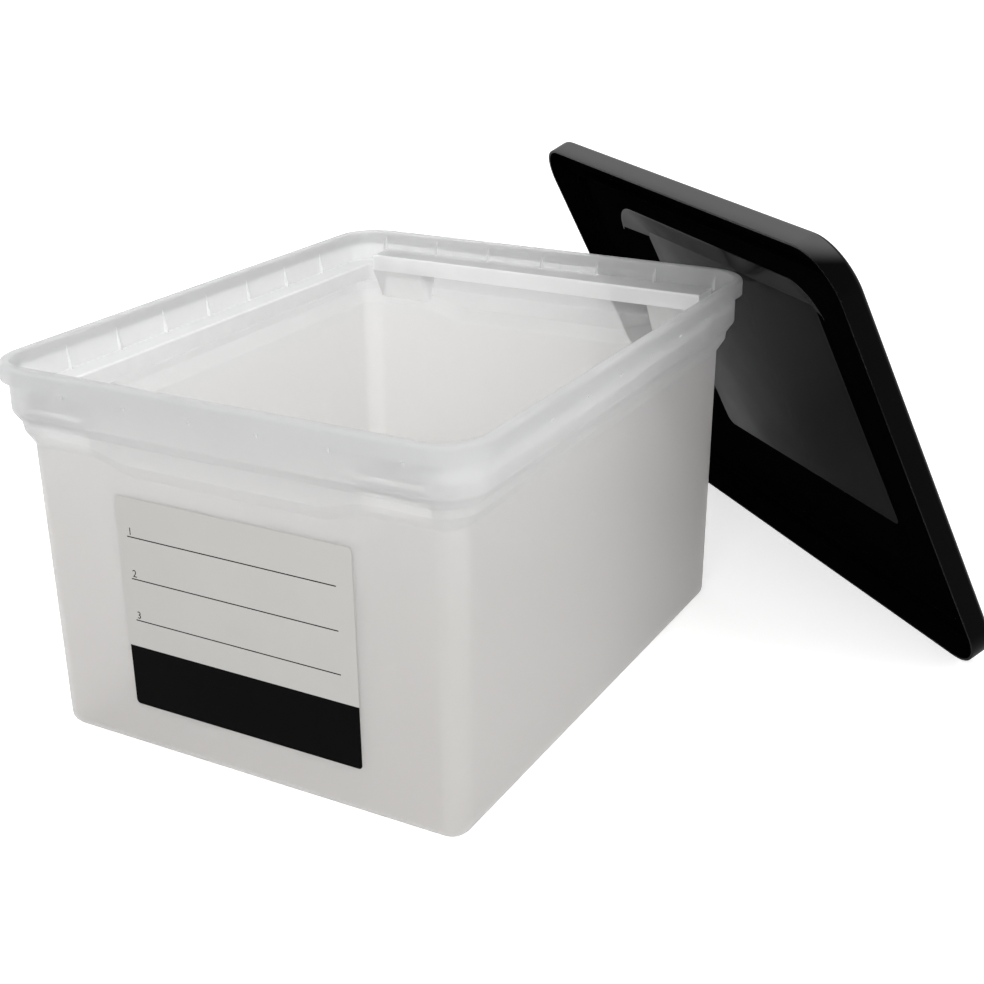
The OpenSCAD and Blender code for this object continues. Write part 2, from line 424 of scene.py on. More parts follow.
def smooth(share):
    """Smooth rise from 0 to 1 as share goes from 0 to 1."""
    share = min(max(share, 0), 1)
    return share * share * (3 - 2 * share)


# Tote

def wall_levels(tote):
    """Insets and heights of the outer wall's corners, from the band to the body."""
    band = (tote.band_inset, TOTE_H - tote.band_height)
    step = (band[0] + tote.step_inset, band[1] - tote.step_height)
    riser = (step[0] + tote.riser_inset, step[1] - tote.riser_height)
    body = (riser[0] + tote.shelf_inset, riser[1] - tote.shelf_height)
    return band, step, riser, body


def wall_inset(tote, height):
    """Inset of the drafted outer wall at a height."""
    body = wall_levels(tote)[3]
    share = (height - tote.base_radius) / (body[1] - tote.base_radius)
    return body[0] + tote.draft * (1 - share)


def tote_shell(tote):
    """The tote's wall, lip and floor as one closed shell."""
    band, step, riser, body = wall_levels(tote)
    foot = body[0] + tote.draft
    margin = 0.002
    below_rim = 0.004
    floor = foot + tote.base_radius + margin
    wall = tote.wall
    under = wall / 2
    lip = TOTE_H - tote.lip_height
    shoulder = TOTE_H - below_rim
    inner_fillet = 0.003
    channel_fillet = 0.0004
    shell = rounded_face("tote_shell", HALF_X, HALF_Y, tote.rim_radius, lip, tote.corner_steps)
    lift(shoulder - lip)
    face_outward()
    inside = rounded([
        (0, shoulder, 0),
        (0, TOTE_H, tote.rim_rounding),
        (band[0] + wall, TOTE_H, tote.rim_rounding / 2),
        (band[0] + wall, band[1] - under, inner_fillet),
        (step[0] + wall, step[1] - under, inner_fillet),
        (riser[0] + wall, riser[1] - under, inner_fillet),
        (body[0] + wall, body[1] - under, inner_fillet),
        (foot + wall, wall, tote.base_radius - wall),
        (floor, wall, 0),
    ])
    outside = rounded([
        (0, lip, 0),
        (tote.lip_thickness, lip, 0),
        (tote.lip_thickness, TOTE_H - wall, channel_fillet),
        (band[0], TOTE_H - wall, channel_fillet),
        (*band, tote.band_rounding),
        (*step, tote.step_rounding),
        (*riser, tote.riser_rounding),
        (*body, tote.body_rounding),
        (foot, 0, tote.base_radius),
        (floor, 0, 0),
    ])
    pick_cap(shoulder, 1)
    sweep(inside, 1)
    pick_cap(lip, -1)
    sweep(outside, -1)
    return shell


def lower_grips(shell, tote):
    """Draws the second step down in the middle of each short wall, as a grip pocket."""
    riser, body = wall_levels(tote)[2:]
    margin = 0.0025
    low = body[1] - tote.body_rounding
    high = riser[1] + margin
    columns = 9
    run = tote.grip_half - tote.grip_flat
    edit(shell)
    places = [tote.grip_flat + run * k / columns for k in range(columns + 1)]
    for side in (-1, 1):
        for place in places:
            bpy.ops.mesh.select_all(action="SELECT")
            bpy.ops.mesh.bisect(plane_co=(side * place, 0, 0), plane_no=(1, 0, 0))
    for side in (-1, 1):
        for place in places:
            drop = tote.grip_drop * smooth((tote.grip_half - place) / run)
            pick(lambda vert: abs(vert.co.x - side * place) < TINY
                 and abs(vert.co.y) > SHORT_WALL and low < vert.co.z < high, "verts")
            bpy.ops.transform.translate(value=(0, 0, -drop))
    bpy.ops.object.mode_set(mode="OBJECT")


def letter_ledge(tote):
    """The ledge along the long walls and round the corners, with its turned-down front."""
    back = tote.band_inset + tote.wall / 2
    top = TOTE_H - tote.letter_drop
    ledge = rounded_face(
        "letter_ledge", HALF_X - back, HALF_Y - back, tote.rim_radius - back, top,
        tote.corner_steps,
    )
    sweep(rounded([
        (0, top, 0),
        (tote.letter_inset - back, top, tote.rail_rounding),
        (tote.letter_inset - back, top - tote.rail_height, 0),
    ], 3), 1)
    pick_cap(top - tote.rail_height, 1)
    bpy.ops.mesh.delete(type="FACE")
    pick(lambda face: abs(face.calc_center_median().x) < TINY
         and abs(face.calc_center_median().y) > SHORT_WALL)
    bpy.ops.mesh.delete(type="FACE")
    apply_modifier(ledge, "SOLIDIFY", thickness=tote.rail_wall, offset=-1,
                   use_even_offset=True)
    return ledge


def legal_rail(tote):
    """The rail on the far short wall: a shallow tray turned upside down."""
    overlap = 0.001
    half = HALF_X - tote.rim_radius + overlap
    back = HALF_Y - tote.band_inset - tote.wall / 2
    front = HALF_Y - tote.legal_inset
    top = TOTE_H - tote.legal_drop
    rail = block("legal_rail", (-half, front, top - tote.rail_height), (half, back, top))
    edit(rail)
    pick(lambda face: face.normal.z < -FACING or face.normal.y > FACING)
    bpy.ops.mesh.delete(type="FACE")
    pick(lambda edge: middle(edge).y < front + TINY and middle(edge).z > top - TINY, "edges")
    bpy.ops.mesh.bevel(offset=tote.rail_rounding, segments=3, affect="EDGES")
    apply_modifier(rail, "SOLIDIFY", thickness=tote.rail_wall, offset=-1,
                   use_even_offset=True)
    return rail


def corbel_foot(tote):
    """Height of the corbels' underside."""
    return wall_levels(tote)[2][1] - tote.corbel_drop


def grip_corbel(tote):
    """The sloping wall under one end of the far legal rail, beside the grip pocket."""
    riser_in, riser_z = wall_levels(tote)[2]
    overlap = 0.0006
    top = TOTE_H - tote.legal_drop - tote.rail_height + overlap
    low = corbel_foot(tote)
    past_grip = 0.005
    past_corner = 0.0025
    front_depth = 0.0057
    back_depth = 0.0016
    back_gap = 0.0005
    inner = tote.grip_half - past_grip
    outer = HALF_X - tote.rim_radius + past_corner
    front_top = HALF_Y - tote.legal_inset + tote.rail_wall / 2
    front_low = HALF_Y - riser_in - front_depth
    back_top = HALF_Y - tote.band_inset - tote.wall / 2
    back_low = HALF_Y - riser_in - back_depth
    back_rise = riser_z - back_gap - low
    corbel = block("grip_corbel", (inner, front_top, low), (outer, back_top, top))
    edit(corbel)
    pick(lambda edge: middle(edge).y < front_top + TINY and middle(edge).z < low + TINY, "edges")
    bpy.ops.transform.translate(value=(0, front_low - front_top, 0))
    pick(lambda edge: middle(edge).y > back_top - TINY and middle(edge).z < low + TINY, "edges")
    bpy.ops.transform.translate(value=(0, back_low - back_top, back_rise))
    pick(lambda edge: middle(edge).y < front_low and abs(middle(edge).x - inner) < TINY
         and abs(edge.verts[0].co.z - edge.verts[1].co.z) > tote.corbel_rounding, "edges")
    bpy.ops.mesh.bevel(offset=tote.corbel_rounding, segments=4, affect="EDGES")
    bpy.ops.object.mode_set(mode="OBJECT")
    return corbel


def rib(name, tote, out, drop, reach):
    """A rib that stands on a rail, reaches in from the wall at x = out and runs up it."""
    wall = out - tote.band_inset - tote.wall
    foot = TOTE_H - drop - tote.rail_wall / 2
    below_rim = 0.002
    top = TOTE_H - below_rim
    front_height = 0.005
    front = wall - reach
    half = tote.rib_wall / 2
    piece = block(name, (front, -half, foot), (wall + tote.wall / 2, half, top))
    edit(piece)
    pick(lambda edge: middle(edge).x < front + TINY and middle(edge).z > top - TINY, "edges")
    bpy.ops.transform.translate(value=(0, 0, foot - top + front_height))
    bpy.ops.object.mode_set(mode="OBJECT")
    return piece


def lip_rib(tote, out):
    """A rib in the channel between lip and band, at x = out."""
    band = out - tote.band_inset - tote.wall / 2
    lip = out - tote.lip_thickness / 2
    below_lip = 0.007
    low = TOTE_H - tote.lip_height - below_lip
    rise = 0.008
    half = tote.rib_wall / 2
    piece = block("lip_rib", (band, -half, low), (lip, half, TOTE_H - tote.wall / 2))
    edit(piece)
    pick(lambda edge: middle(edge).x > lip - TINY and middle(edge).z < low + TINY, "edges")
    bpy.ops.transform.translate(value=(0, 0, rise))
    bpy.ops.object.mode_set(mode="OBJECT")
    return piece


def along_wall(first, places, turns):
    """Copies of a piece at places along each wall that turns name. The first is used up."""
    copies = []
    for turn in turns:
        for place in places:
            offset = Matrix.Rotation(turn, 3, "Z") @ Vector((0, place, 0))
            copies.append(copy_piece(first, offset, turn))
    bpy.data.objects.remove(first)
    return copies


def is_fitting(face, tote):
    """Whether a face of the tote is the side of a rib, or part of a rail, ledge or corbel: the
    faces that get the lighter plastic as painted light.
    """
    near = 0.0005
    square = 0.99
    slanting = 0.3
    rib_depth = 0.03
    rib_area = 4e-4
    rib_zone = 0.013
    corbel_zone = 0.13
    corbel_inset = 0.0125
    ledge_inset = 0.008
    rail_inset = 0.0225
    centre = face.calc_center_median()
    inset = inset_at(centre, HALF_X, HALF_Y, tote.rim_radius)
    foot = corbel_foot(tote)
    if centre.z < foot - near:
        return False
    if inset > rail_inset:
        return True
    in_channel = centre.z > TOTE_H - rib_depth and face.calc_area() < rib_area
    across_x = abs(face.normal.x) > square and abs(centre.y) > HALF_Y - rib_zone
    across_y = abs(face.normal.y) > square and abs(centre.x) > HALF_X - rib_zone
    rib_side = in_channel and (across_x or across_y)
    below_rail = centre.z < TOTE_H - tote.legal_drop - tote.rail_height
    slanted = abs(face.normal.x) > slanting and abs(centre.x) < corbel_zone
    at_foot = abs(centre.z - foot) < near and face.normal.z < -FACING
    corbel_under = at_foot and inset > corbel_inset and abs(centre.y) > SHORT_WALL
    at_ledge = abs(centre.z - TOTE_H + tote.letter_drop) < near and face.normal.z > FACING
    ledge_top = at_ledge and inset > ledge_inset
    return rib_side or (below_rail and slanted) or corbel_under or ledge_top


def mirrored(piece):
    """A copy of piece on the other side of x = 0."""
    copy = copy_piece(piece)
    copy.scale.x = -1
    bpy.ops.object.transform_apply()
    edit(copy)
    face_outward()
    bpy.ops.object.mode_set(mode="OBJECT")
    return copy


def build_tote(tote):
    """The whole tote moulding."""
    shell = tote_shell(tote)
    lower_grips(shell, tote)
    gap = tote.rib_gap
    long_walls = (0, pi)
    short_walls = (pi / 2, -pi / 2)
    rail = legal_rail(tote)
    corbel = grip_corbel(tote)
    corbels = [corbel, mirrored(corbel)]
    corbels += [copy_piece(piece, turn=pi) for piece in corbels]
    fuse(shell, [letter_ledge(tote)])
    fuse(shell, [rail, copy_piece(rail, turn=pi)])
    fuse(shell, corbels)
    letter_rib = rib("letter_rib", tote, HALF_X, tote.letter_drop, tote.letter_reach)
    legal_rib = rib("legal_rib", tote, HALF_Y, tote.legal_drop, tote.legal_reach)
    places = [k * gap for k in range(-3, 4)]
    ribs = along_wall(letter_rib, places, long_walls)
    ribs += along_wall(legal_rib, places, short_walls)
    places = [k * gap + tote.lip_rib_shift for k in range(-2, 4)]
    ribs += along_wall(lip_rib(tote, HALF_X), places, long_walls)
    ribs += along_wall(lip_rib(tote, HALF_Y), places, short_walls)
    fuse(shell, ribs)
    give_materials(shell, milky_plastic(tote), pale_rib(tote))
    # Painted light: these faces get the lighter rib plastic, lifting the shade on rib sides, rails,
    # ledge tops and corbels.
    paint(shell, 1, lambda face: is_fitting(face, tote))
    return shell


# Lid

def lid_place(lid, tote):
    """Where the flat lid goes: stood on one long edge, turned, and leant on the rim."""
    tilt = pi / 2 - lid.lean
    rounding = lid.rest_rounding
    depth = lid.skirt + lid.platform_height - lid.wall - rounding - lid.gap
    up = (TOTE_H - rounding - depth * cos(tilt)) / sin(tilt)
    out = tote.rim_radius - rounding + up * cos(tilt) - depth * sin(tilt)
    corner = Vector((HALF_X - tote.rim_radius, HALF_Y - tote.rim_radius, 0))
    lean_way = Vector((sin(lid.yaw), -cos(lid.yaw), 0))
    length_way = Vector((cos(lid.yaw), sin(lid.yaw), 0))
    foot = corner + lean_way * out - length_way * lid.along
    half_width = HALF_X + lid.overhang
    return (Matrix.Translation(foot) @ Matrix.Rotation(lid.yaw, 4, "Z")
            @ Matrix.Rotation(tilt, 4, "X") @ Matrix.Translation((0, half_width, 0)))


def lid_outline(lid, tote):
    """Half length, half width and corner radius of the flat lid."""
    return HALF_Y + lid.overhang, HALF_X + lid.overhang, tote.rim_radius + lid.overhang


def platform_outline(lid):
    """Half length, half width and corner radius of the platform's foot."""
    return lid.platform_length / 2, lid.platform_width / 2, lid.platform_radius


def lid_sheet(lid, tote):
    """The lid lying flat, skirt edge down: one sheet that gets its wall."""
    side = lid.skirt - lid.edge_radius
    top = lid.skirt + lid.platform_height
    foot_width = 0.004
    foot_rounding = 0.003
    top_rounding = 0.004
    margin = 0.006
    panel = rounded_face("lid_panel", *lid_outline(lid, tote), 0, lid.corner_steps)
    lift(side)
    pick_cap(0, -1)
    bpy.ops.mesh.delete(type="FACE")
    pick_cap(side, 1)
    sweep(rounded([
        (0, side - TINY, 0),
        (0, lid.skirt, lid.edge_radius),
        (lid.flange, lid.skirt, 0),
    ], 8)[1:], 1)
    bpy.ops.mesh.delete(type="FACE")
    platform = rounded_face("platform", *platform_outline(lid), lid.skirt, lid.corner_steps)
    sweep(rounded([
        (0, lid.skirt, 0),
        (foot_width, lid.skirt, foot_rounding),
        (lid.slope, top, top_rounding),
        (lid.slope + margin, top, 0),
    ], 4), 1)
    join([panel, platform])
    edit(panel)
    pick(lambda edge: edge.is_boundary and abs(middle(edge).z - lid.skirt) < TINY, "edges")
    bpy.ops.mesh.bridge_edge_loops()
    face_outward()
    apply_modifier(panel, "SOLIDIFY", thickness=lid.wall, offset=-1, use_even_offset=True)
    return panel


def locating_rib(lid):
    """The rib under the flange that centres the lid inside the rails."""
    half_x = HALF_Y + lid.overhang - lid.rib_end
    half_y = HALF_X + lid.overhang - lid.rib_side
    top = lid.skirt - lid.wall / 2
    wall = rounded_face("locating_rib", half_x, half_y, lid.rib_radius, top, lid.corner_steps)
    lift(-lid.rib_height - lid.wall / 2)
    pick(lambda face: abs(face.normal.z) > FACING)
    bpy.ops.mesh.delete(type="FACE")
    face_outward()
    apply_modifier(wall, "SOLIDIFY", thickness=lid.rib_wall, offset=-1, use_even_offset=True)
    return wall


def snap_bead(lid, out):
    """A bead inside the foot of the skirt, at x = out, that snaps under the tote's lip."""
    inner = out - lid.wall
    half = lid.bead_length / 2
    tip = inner - lid.bead_reach
    height = lid.bead_height
    tip_size = (1, 0.94, 0.2)
    bead = block("snap_bead", (tip, -half, 0), (inner + lid.wall / 2, half, height))
    edit(bead)
    pick(lambda face: face.normal.x < -FACING)
    bpy.ops.transform.resize(value=tip_size, center_override=(tip, 0, height / 2))
    bpy.ops.object.mode_set(mode="OBJECT")
    return bead


def build_lid(lid, tote):
    """The whole lid moulding, in its place."""
    outline = lid_outline(lid, tote)
    half_x, half_y = outline[:2]
    panel = lid_sheet(lid, tote)
    beads = along_wall(snap_bead(lid, half_y), (-half_x / 2, half_x / 2), (pi / 2, -pi / 2))
    beads += along_wall(snap_bead(lid, half_x), (0,), (0, pi))
    fuse(panel, [locating_rib(lid), *beads])
    give_materials(panel, black_skirt(lid), black_flange(lid), black_panel(lid), black_top(lid))
    border = 0.002
    skirt_depth = 0.6 * lid.wall
    upward = 0.3
    downward = -0.8

    def is_inside(face):
        depth = inset_at(face.calc_center_median(), *outline)
        return face.normal.z < upward and depth > skirt_depth

    def is_panel(face):
        centre = face.calc_center_median()
        inset = inset_at(centre, *platform_outline(lid))
        upper = centre.y > lid.platform_width / 2 - lid.slope
        within = inset > lid.slope - border or (inset > border and upper)
        return face.normal.z < downward and within

    def is_top(face):
        above = face.calc_center_median().z > lid.skirt - lid.edge_radius
        return face.normal.z > upward and above

    paint(panel, 1, is_inside)
    # The panel and the upper side of its sloping border get the painted reflection of the panel
    # material; the other sides of the border stay black.
    paint(panel, 2, is_panel)
    paint(panel, 3, is_top)
    activate(panel)
    panel.matrix_world = lid_place(lid, tote)
    bpy.ops.object.transform_apply()
    return panel


# Label

def figure(text, label, place, ink):
    """A small printed figure on the flat label."""
    deselect()
    bpy.ops.object.text_add(location=(*place, label.thickness))
    digit = bpy.context.object
    digit.data.body = text
    digit.data.size = label.figure_size
    digit.data.extrude = TINY
    digit.data.resolution_u = 4
    bpy.ops.object.convert(target="MESH")
    bpy.ops.object.transform_apply()
    give_materials(digit, ink)
    return digit


def build_label(label, tote):
    """The paper label, flat against the near short wall. Only its outside is printed."""
    lean = atan(tote.draft / (wall_levels(tote)[3][1] - tote.base_radius))
    size = (label.width / 2, label.height / 2, label.corner_radius)
    sheet = rounded_face("label_sheet", *size, 0, steps=6)
    lift(label.thickness)
    face_outward()
    first = label.rule_top - label.bottom - label.height / 2 + label.figure_rise
    ink = label_ink(label)
    figures = []
    for k in range(3):
        place = (label.figure_left, first - k * label.rule_gap)
        figures.append(figure(str(k + 1), label, place, ink))
    give_materials(sheet, label_paper(label), label_print(label))
    paint(sheet, 1, lambda face: face.normal.z > FACING)
    join([sheet, *figures])
    foot = -HALF_Y + wall_inset(tote, label.bottom)
    sheet.matrix_world = (
        Matrix.Translation((0, foot, label.bottom)) @ Matrix.Rotation(pi / 2 + lean, 4, "X")
        @ Matrix.Translation((0, label.height / 2, 0))
    )
    bpy.ops.object.transform_apply()
    return sheet


# Materials

class Graph:
    """Adds nodes to a material or group and links them."""

    def __init__(self, tree):
        self.tree = tree

    def add(self, kind, **values):
        """A node. Each value is set on the node if it has that name, or else on its socket."""
        node = self.tree.nodes.new(kind)
        for name, value in values.items():
            if hasattr(node, name):
                setattr(node, name, value)
            else:
                self.fill(node, **{name: value})
        return node

    def fill(self, node, **values):
        """Gives a node's sockets constants or links, by their names."""
        for name, value in values.items():
            self.feed(node.inputs[name.replace("_", " ")], value)

    def feed(self, socket, value):
        """Gives a socket a constant, or a link from another socket."""
        if isinstance(value, bpy.types.NodeSocket):
            self.tree.links.new(value, socket)
        else:
            socket.default_value = value

    def math(self, operation, *values):
        """Result of a Math node."""
        node = self.add("ShaderNodeMath", operation=operation)
        for socket, value in zip(node.inputs, values):
            self.feed(socket, value)
        return node.outputs[0]

    def seen(self, path):
        """1 for rays from the camera, directly or through the plastic, from a Light Path."""
        return self.math("MAXIMUM", path["Is Camera Ray"], path["Is Transmission Ray"])

    def mix(self, factor, first, second, blend="MIX"):
        """Mix of two colours."""
        node = self.add("ShaderNodeMix", data_type="RGBA", blend_type=blend)
        for index, value in ((0, factor), (6, first), (7, second)):
            self.feed(node.inputs[index], value)
        return node.outputs[2]

    def rise(self, low, high):
        """Mask that rises smoothly from 0 at one height to 1 at another."""
        place = self.add("ShaderNodeTexCoord").outputs["Object"]
        height = self.add("ShaderNodeSeparateXYZ", Vector=place).outputs["Z"]
        node = self.add("ShaderNodeMapRange", interpolation_type="SMOOTHSTEP", Value=height,
                        From_Min=low, From_Max=high)
        return node.outputs["Result"]

    def coat(self, shader, colour, finish, **values):
        """Gives a Principled shader its colour, its moulded finish and other values."""
        self.fill(shader, Base_Color=colour, Roughness=finish["Roughness"],
                  Normal=finish["Normal"], **values)


def moulded_skin():
    """Group: mottling, roughness and relief of a moulded surface."""
    group = bpy.data.node_groups.new("moulded_skin", "ShaderNodeTree")
    for name, default in (("Cloud Scale", 20.0), ("Grain Scale", 900.0),
                          ("Roughness", 0.4), ("Variation", 0.05), ("Relief", 0.1)):
        socket = group.interface.new_socket(name, in_out="INPUT", socket_type="NodeSocketFloat")
        socket.default_value = default
    group.interface.new_socket("Cloud", in_out="OUTPUT", socket_type="NodeSocketFloat")
    group.interface.new_socket("Roughness", in_out="OUTPUT", socket_type="NodeSocketFloat")
    group.interface.new_socket("Normal", in_out="OUTPUT", socket_type="NodeSocketVector")
    graph = Graph(group)
    given = graph.add("NodeGroupInput").outputs
    place = graph.add("ShaderNodeTexCoord").outputs["Object"]
    cloud = graph.add("ShaderNodeTexNoise", Vector=place, Scale=given["Cloud Scale"],
                      Detail=3.0).outputs["Fac"]
    grain = graph.add("ShaderNodeTexNoise", Vector=place, Scale=given["Grain Scale"],
                      Detail=2.0).outputs["Fac"]
    swing = graph.math("MULTIPLY", graph.math("SUBTRACT", cloud, 0.5), given["Variation"])
    roughness = graph.math("ADD", given["Roughness"], swing)
    relief = graph.add("ShaderNodeBump", Height=grain, Strength=given["Relief"],
                       Distance=0.0002).outputs["Normal"]
    out = graph.add("NodeGroupOutput")
    graph.fill(out, Cloud=cloud, Roughness=roughness, Normal=relief)
    return group


def new_material(name):
    """A material, its graph and its Principled shader."""
    material = bpy.data.materials.new(name)
    material.use_nodes = True
    return material, Graph(material.node_tree), material.node_tree.nodes["Principled BSDF"]


def recolour(material, colour):
    """Gives a material's Principled shader another colour."""
    Graph(material.node_tree).fill(material.node_tree.nodes["Principled BSDF"], Base_Color=colour)


def skin(graph, **values):
    """The moulded_skin group, built once and placed with its own values."""
    group = bpy.data.node_groups.get("moulded_skin") or moulded_skin()
    node = graph.add("ShaderNodeGroup", node_tree=group)
    graph.fill(node, **values)
    return node.outputs


def shade(colour, factor):
    """A colour made lighter or darker, with an alpha of 1."""
    return (*(min(channel * factor, 1) for channel in colour), 1)


def milky_plastic(tote):
    """Translucent plastic, faintly cloudy, a little warmer in the walls than at the rim."""
    material, graph, shader = new_material("milky_plastic")
    finish = skin(graph, Cloud_Scale=9.0, Grain_Scale=700.0, Roughness=0.5,
                  Variation=0.08, Relief=0.06)
    warm_height = TOTE_H - 0.12
    cool_height = TOTE_H - 0.02
    rise = graph.rise(warm_height, cool_height)
    body = graph.mix(rise, (*tote.plastic, 1), (*tote.rim_plastic, 1))
    cloudy = graph.mix(finish["Cloud"], shade(WHITE, 0.96), (*WHITE, 1))
    colour = graph.mix(1.0, body, cloudy, "MULTIPLY")
    graph.coat(shader, colour, finish, IOR=PLASTIC_IOR, Alpha=0.62, Transmission_Weight=0.3,
               Subsurface_Weight=0.9, Subsurface_Radius=(1, 1, 1), Subsurface_Scale=0.03)
    return material


def pale_rib(tote):
    """Painted light: the rim plastic made lighter for ribs, rails, ledge and corbels, lifting the
    shade that falls on them; nearly clear from within.
    """
    material, graph, shader = new_material("pale_rib")
    finish = skin(graph, Cloud_Scale=60.0, Grain_Scale=900.0, Roughness=0.35,
                  Variation=0.08, Relief=0.04)
    outer_alpha = 0.72
    inner_alpha = 0.12
    # Painted light: the rim colour lifted by a quarter.
    colour = graph.mix(finish["Cloud"], shade(tote.rim_plastic, 1.25), (*WHITE, 1))
    within = graph.add("ShaderNodeNewGeometry").outputs["Backfacing"]
    clearer = graph.math("MULTIPLY", within, outer_alpha - inner_alpha)
    alpha = graph.math("SUBTRACT", outer_alpha, clearer)
    graph.coat(shader, colour, finish, IOR=PLASTIC_IOR, Alpha=alpha, Transmission_Weight=0.2)
    return material


def black_plastic(name, lid, roughness, relief, specular):
    """Black plastic with a fine moulded texture. Gives the material, its graph and colour."""
    material, graph, shader = new_material(name)
    finish = skin(graph, Cloud_Scale=14.0, Grain_Scale=1400.0, Roughness=roughness,
                  Variation=0.10, Relief=relief)
    colour = graph.mix(finish["Cloud"], shade(lid.plastic, 0.8), shade(lid.plastic, 1.2))
    graph.coat(shader, colour, finish, IOR=PLASTIC_IOR, Specular_IOR_Level=specular)
    return material, graph, colour


def black_top(lid):
    """The lid's satin top."""
    return black_plastic("black_top", lid, roughness=0.34, relief=0.2, specular=0.09)[0]


def black_skirt(lid):
    """The skirt's darker outside, with a painted reflection: a paler band where the leaning lid is
    highest.
    """
    material, graph, colour = black_plastic(
        "black_skirt", lid, roughness=0.34, relief=0.2, specular=0.02
    )
    top = float(CAD_BOX[1][2])
    reflection_start = top - 0.016
    reflection_full = top - 0.003
    # Painted reflection: the black turns towards pale grey near the lid's highest edge, standing in
    # for the sheen of light there.
    with_painted_reflection = graph.mix(graph.rise(reflection_start, reflection_full), colour, shade(lid.painted_reflection, 0.7))
    recolour(material, with_painted_reflection)
    return material


def black_flange(lid):
    """The matt inside of the skirt and flange."""
    return black_plastic("black_flange", lid, roughness=0.5, relief=0.3, specular=0.0)[0]


def black_panel(lid):
    """The platform's glossier inside, with a painted reflection: a pale patchy colour that grows
    towards one end.
    """
    material, graph, colour = black_plastic(
        "black_panel", lid, roughness=0.22, relief=0.08, specular=0.012
    )
    reflection_start = -0.08
    reflection_full = 0.15
    place = graph.add("ShaderNodeTexCoord").outputs["Object"]
    along = graph.add("ShaderNodeVectorMath", operation="DOT_PRODUCT")
    graph.feed(along.inputs[0], place)
    graph.feed(along.inputs[1], (cos(lid.yaw), sin(lid.yaw), 0))
    grow = graph.add("ShaderNodeMapRange", Value=along.outputs["Value"],
                     From_Min=reflection_start, From_Max=reflection_full).outputs["Result"]
    cloud = graph.add("ShaderNodeTexNoise", Vector=place, Scale=16.0, Detail=2.0)
    patchy = graph.math("ADD", 0.4, cloud.outputs["Fac"])
    # Painted reflection: pale colour that grows along the lid's length, in noisy patches.
    painted_reflection = graph.math("MULTIPLY", graph.math("POWER", grow, 3.0), patchy)
    with_painted_reflection = graph.mix(painted_reflection, colour, (*lid.painted_reflection, 1))
    recolour(material, with_painted_reflection)
    return material


def matt_sheet(name, colour):
    """Matt paper or print with faint mottling. Gives the material, its graph and colour."""
    material, graph, shader = new_material(name)
    finish = skin(graph, Cloud_Scale=30.0, Grain_Scale=2500.0, Roughness=0.62,
                  Variation=0.10, Relief=0.12)
    mottled = graph.mix(finish["Cloud"], shade(colour, 0.97), shade(colour, 1.03))
    graph.coat(shader, mottled, finish, Specular_IOR_Level=0.03)
    return material, graph, mottled


def label_paper(label):
    """Bare paper, for the label's back and edges."""
    return matt_sheet("label_paper", label.paper)[0]


def label_ink(label):
    """Black ink."""
    return matt_sheet("label_ink", label.ink)[0]


def label_print(label):
    """The label's face: paper with a printed band and three ruled lines."""
    material, graph, paper = matt_sheet("label_print", label.paper)
    place = graph.add("ShaderNodeTexCoord").outputs["Object"]
    split = graph.add("ShaderNodeSeparateXYZ", Vector=place).outputs
    band = graph.math("LESS_THAN", split["Z"], label.band_top)
    centre = (label.rule_left + label.rule_right) / 2
    across = graph.math("COMPARE", split["X"], centre, label.rule_right - centre)
    lines = 0.0
    for k in range(3):
        height = label.rule_top - k * label.rule_gap
        rule = graph.math("COMPARE", split["Z"], height, label.rule_width / 2)
        lines = graph.math("MAXIMUM", rule, lines)
    print_mask = graph.math("MAXIMUM", band, graph.math("MULTIPLY", lines, across))
    recolour(material, graph.mix(print_mask, paper, shade(label.ink, 1)))
    return material


def pale_floor(stage):
    """A pale floor that shows as white and keeps the object's shadow."""
    material, graph, shader = new_material("pale_floor")
    seen_glow = 0.55
    mirrored_glow = 0.15
    path = graph.add("ShaderNodeLightPath").outputs
    seen = graph.math("MULTIPLY", graph.seen(path), seen_glow)
    reflected = graph.math("MULTIPLY", path["Is Glossy Ray"], mirrored_glow)
    graph.fill(shader, Base_Color=(*stage.floor, 1), Roughness=0.9,
               Emission_Color=(*WHITE, 1), Emission_Strength=graph.math("MAXIMUM", seen, reflected))
    return material


# Stage

def add_camera(stage):
    """The camera at the photograph's viewing angle."""
    data = bpy.data.cameras.new("camera")
    camera = bpy.data.objects.new("camera", data)
    bpy.context.scene.collection.objects.link(camera)
    level = Vector((-sin(stage.azimuth), cos(stage.azimuth), 0))
    ahead = level * cos(stage.elevation) - Vector((0, 0, sin(stage.elevation)))
    flat = Vector((cos(stage.azimuth), sin(stage.azimuth), 0))
    upright = flat.cross(ahead)
    right = flat * cos(stage.roll) + upright * sin(stage.roll)
    up = upright * cos(stage.roll) - flat * sin(stage.roll)
    turn = Matrix((right, up, -ahead)).transposed().to_4x4()
    camera.matrix_world = Matrix.Translation(stage.place) @ turn
    data.lens = stage.lens
    data.sensor_width = 36
    data.sensor_fit = "HORIZONTAL"
    bpy.context.scene.camera = camera


def add_lamp(name, place, size, power):
    """A square soft lamp that looks at the tote."""
    data = bpy.data.lights.new(name, "AREA")
    lamp = bpy.data.objects.new(name, data)
    bpy.context.scene.collection.objects.link(lamp)
    target = Vector((0.05, 0, 0.12))
    aim = (target - Vector(place)).to_track_quat("-Z", "Y")
    lamp.matrix_world = Matrix.Translation(place) @ aim.to_matrix().to_4x4()
    data.size = size
    data.energy = power
    lamp.visible_camera = False


def light_world():
    """Even light from all round, and white behind the object."""
    world = bpy.data.worlds.new("studio")
    world.use_nodes = True
    ambient = 0.80
    extra = 0.20
    graph = Graph(world.node_tree)
    path = graph.add("ShaderNodeLightPath").outputs
    strength = graph.math("ADD", ambient, graph.math("MULTIPLY", graph.seen(path), extra))
    graph.fill(world.node_tree.nodes["Background"], Color=(*WHITE, 1), Strength=strength)
    bpy.context.scene.world = world


